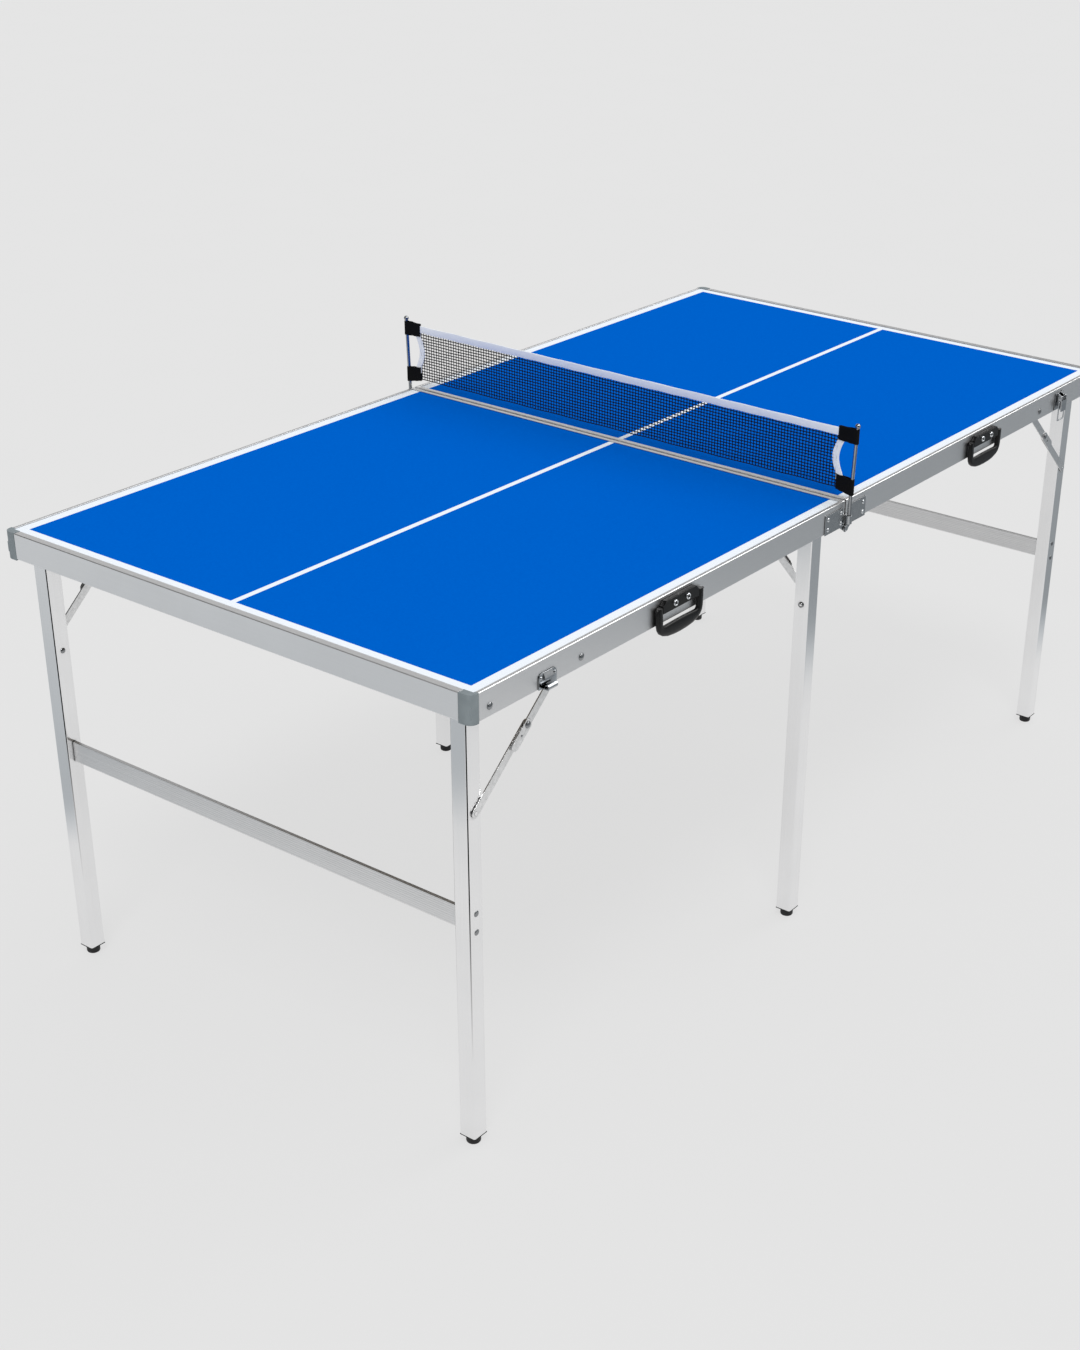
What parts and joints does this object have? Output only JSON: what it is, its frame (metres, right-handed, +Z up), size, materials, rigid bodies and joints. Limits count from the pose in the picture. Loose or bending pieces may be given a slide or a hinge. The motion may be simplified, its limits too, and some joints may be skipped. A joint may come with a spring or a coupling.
{
  "type": "folding table tennis table",
  "caption": "Low folding table tennis table in two hinged halves on slim square legs with locking stays, a clip-on net on posts, carrying handles and a latch.",
  "frame": {"origin": "on the floor under the middle of the open table", "axes": "+X along the table from the near half to the far half, +Y across the table to its left side, away from the handles and the latch, +Z up"},
  "size_m": [1.83, 0.952, 0.8754],
  "materials": {
    "board": "satin painted board with white lines",
    "rail": "satin anodised",
    "leg": "satin anodised",
    "cap": "moulded",
    "foot": "moulded",
    "stay": "zinc plated",
    "hinge": "bright zinc plated",
    "handle": "moulded",
    "latch": "polished",
    "post": "polished",
    "net": "knotted cord with white tapes and black straps"
  },
  "bodies": {
    "near_half": {"near_table_top": "board", "near_end_rail": "rail", "near_fold_rail": "rail", "near_right_rail": "rail", "near_left_rail": "rail", "near_right_corner_cap": "cap", "near_left_corner_cap": "cap", "near_right_hinge_leaf": "hinge", "near_left_hinge_leaf": "hinge", "near_middle_hanger": "stay", "near_handle_bracket": "handle", "near_catch_plate": "latch"},
    "far_half": {"far_table_top": "board", "far_end_rail": "rail", "far_fold_rail": "rail", "far_right_rail": "rail", "far_left_rail": "rail", "far_right_corner_cap": "cap", "far_left_corner_cap": "cap", "far_right_hinge_leaf": "hinge", "far_left_hinge_leaf": "hinge", "far_middle_hanger": "stay", "far_handle_bracket": "handle", "far_latch_base": "latch"},
    "hinge_pins": {"right_hinge_pin": "hinge", "left_hinge_pin": "hinge"},
    "near_end_legs": {"near_right_leg": "leg", "near_left_leg": "leg", "near_crossbar": "rail", "near_right_foot": "foot", "near_left_foot": "foot"},
    "near_middle_leg": {"near_middle_leg": "leg", "near_middle_foot": "foot"},
    "near_right_lower_stay": {"near_right_lower_stay": "stay"},
    "near_right_upper_stay": {"near_right_upper_stay": "stay"},
    "near_left_lower_stay": {"near_left_lower_stay": "stay"},
    "near_left_upper_stay": {"near_left_upper_stay": "stay"},
    "near_middle_lower_stay": {"near_middle_lower_stay": "stay"},
    "near_middle_upper_stay": {"near_middle_upper_stay": "stay"},
    "near_handle_bail": {"near_handle_bail": "handle"},
    "far_end_legs": {"far_right_leg": "leg", "far_left_leg": "leg", "far_crossbar": "rail", "far_right_foot": "foot", "far_left_foot": "foot"},
    "far_middle_leg": {"far_middle_leg": "leg", "far_middle_foot": "foot"},
    "far_right_lower_stay": {"far_right_lower_stay": "stay"},
    "far_right_upper_stay": {"far_right_upper_stay": "stay"},
    "far_left_lower_stay": {"far_left_lower_stay": "stay"},
    "far_left_upper_stay": {"far_left_upper_stay": "stay"},
    "far_middle_lower_stay": {"far_middle_lower_stay": "stay"},
    "far_middle_upper_stay": {"far_middle_upper_stay": "stay"},
    "far_handle_bail": {"far_handle_bail": "handle"},
    "latch_lever": {"far_latch_lever": "latch"},
    "latch_loop": {"far_latch_loop": "latch"},
    "net_set": {"net": "net", "right_net_post": "post", "left_net_post": "post"}
  },
  "joints": [
    {"name": "near_leaf_fold", "type": "hinge", "parent": "near_half", "child": "hinge_pins", "pos_m": [0, 0, 0.7005], "axis": [0, 1, 0], "range_deg": [0, 90]},
    {"name": "far_leaf_fold", "type": "hinge", "parent": "hinge_pins", "child": "far_half", "pos_m": [0, 0, 0.7005], "axis": [0, 1, 0], "range_deg": [0, 90]},
    {"name": "near_end_legs_fold", "type": "hinge", "parent": "near_half", "child": "near_end_legs", "pos_m": [-0.878, 0, 0.72], "axis": [0, -1, 0], "range_deg": [0, 90]},
    {"name": "near_right_upper_stay_fold", "type": "hinge", "parent": "near_half", "child": "near_right_upper_stay", "pos_m": [-0.685, -0.4282, 0.72], "axis": [0, -1, 0], "range_deg": [0, 139]},
    {"name": "near_right_lower_stay_fold", "type": "hinge", "parent": "near_end_legs", "child": "near_right_lower_stay", "pos_m": [-0.878, -0.4282, 0.552], "axis": [0, 1, 0], "range_deg": [0, 132]},
    {"name": "near_left_upper_stay_fold", "type": "hinge", "parent": "near_half", "child": "near_left_upper_stay", "pos_m": [-0.685, 0.4282, 0.72], "axis": [0, -1, 0], "range_deg": [0, 139]},
    {"name": "near_left_lower_stay_fold", "type": "hinge", "parent": "near_end_legs", "child": "near_left_lower_stay", "pos_m": [-0.878, 0.4282, 0.552], "axis": [0, 1, 0], "range_deg": [0, 132]},
    {"name": "near_middle_leg_fold", "type": "hinge", "parent": "near_half", "child": "near_middle_leg", "pos_m": [-0.066, -0.4344, 0.72], "axis": [1, 0, 0], "range_deg": [0, 90]},
    {"name": "near_middle_upper_stay_fold", "type": "hinge", "parent": "near_half", "child": "near_middle_upper_stay", "pos_m": [-0.0513, -0.2914, 0.72], "axis": [1, 0, 0], "range_deg": [0, 138]},
    {"name": "near_middle_lower_stay_fold", "type": "hinge", "parent": "near_middle_leg", "child": "near_middle_lower_stay", "pos_m": [-0.0513, -0.4344, 0.587], "axis": [-1, 0, 0], "range_deg": [0, 133]},
    {"name": "near_handle_swing", "type": "hinge", "parent": "near_half", "child": "near_handle_bail", "pos_m": [-0.462, -0.4621, 0.731], "axis": [-1, 0, 0], "range_deg": [0, 90]},
    {"name": "far_end_legs_fold", "type": "hinge", "parent": "far_half", "child": "far_end_legs", "pos_m": [0.878, 0, 0.72], "axis": [0, 1, 0], "range_deg": [0, 90]},
    {"name": "far_right_upper_stay_fold", "type": "hinge", "parent": "far_half", "child": "far_right_upper_stay", "pos_m": [0.685, -0.4282, 0.72], "axis": [0, 1, 0], "range_deg": [0, 139]},
    {"name": "far_right_lower_stay_fold", "type": "hinge", "parent": "far_end_legs", "child": "far_right_lower_stay", "pos_m": [0.878, -0.4282, 0.552], "axis": [0, -1, 0], "range_deg": [0, 132]},
    {"name": "far_left_upper_stay_fold", "type": "hinge", "parent": "far_half", "child": "far_left_upper_stay", "pos_m": [0.685, 0.4282, 0.72], "axis": [0, 1, 0], "range_deg": [0, 139]},
    {"name": "far_left_lower_stay_fold", "type": "hinge", "parent": "far_end_legs", "child": "far_left_lower_stay", "pos_m": [0.878, 0.4282, 0.552], "axis": [0, -1, 0], "range_deg": [0, 132]},
    {"name": "far_middle_leg_fold", "type": "hinge", "parent": "far_half", "child": "far_middle_leg", "pos_m": [0.036, 0.4344, 0.72], "axis": [-1, 0, 0], "range_deg": [0, 90]},
    {"name": "far_middle_upper_stay_fold", "type": "hinge", "parent": "far_half", "child": "far_middle_upper_stay", "pos_m": [0.0213, 0.2914, 0.72], "axis": [-1, 0, 0], "range_deg": [0, 138]},
    {"name": "far_middle_lower_stay_fold", "type": "hinge", "parent": "far_middle_leg", "child": "far_middle_lower_stay", "pos_m": [0.0213, 0.4344, 0.587], "axis": [1, 0, 0], "range_deg": [0, 133]},
    {"name": "far_handle_swing", "type": "hinge", "parent": "far_half", "child": "far_handle_bail", "pos_m": [0.462, -0.4621, 0.731], "axis": [-1, 0, 0], "range_deg": [0, 90]},
    {"name": "latch_lever_swing", "type": "hinge", "parent": "far_half", "child": "latch_lever", "pos_m": [0.76, -0.4653, 0.731], "axis": [-1, 0, 0], "range_deg": [0, 90]},
    {"name": "latch_loop_swing", "type": "hinge", "parent": "latch_lever", "child": "latch_loop", "pos_m": [0.76, -0.4653, 0.723], "axis": [-1, 0, 0], "range_deg": [0, 60]},
    {"name": "net_lift", "type": "slide", "parent": "near_half", "child": "net_set", "axis": [0, 0, 1], "range_m": [0, 0.25]}
  ],
  "couplings": [
    {"joint": "near_right_upper_stay_fold", "follows": "near_end_legs_fold", "ratio": 1.544},
    {"joint": "near_right_lower_stay_fold", "follows": "near_end_legs_fold", "ratio": 1.456},
    {"joint": "near_left_upper_stay_fold", "follows": "near_end_legs_fold", "ratio": 1.544},
    {"joint": "near_left_lower_stay_fold", "follows": "near_end_legs_fold", "ratio": 1.456},
    {"joint": "near_middle_upper_stay_fold", "follows": "near_middle_leg_fold", "ratio": 1.5231},
    {"joint": "near_middle_lower_stay_fold", "follows": "near_middle_leg_fold", "ratio": 1.4769},
    {"joint": "far_right_upper_stay_fold", "follows": "far_end_legs_fold", "ratio": 1.544},
    {"joint": "far_right_lower_stay_fold", "follows": "far_end_legs_fold", "ratio": 1.456},
    {"joint": "far_left_upper_stay_fold", "follows": "far_end_legs_fold", "ratio": 1.544},
    {"joint": "far_left_lower_stay_fold", "follows": "far_end_legs_fold", "ratio": 1.456},
    {"joint": "far_middle_upper_stay_fold", "follows": "far_middle_leg_fold", "ratio": 1.5231},
    {"joint": "far_middle_lower_stay_fold", "follows": "far_middle_leg_fold", "ratio": 1.4769}
  ]
}
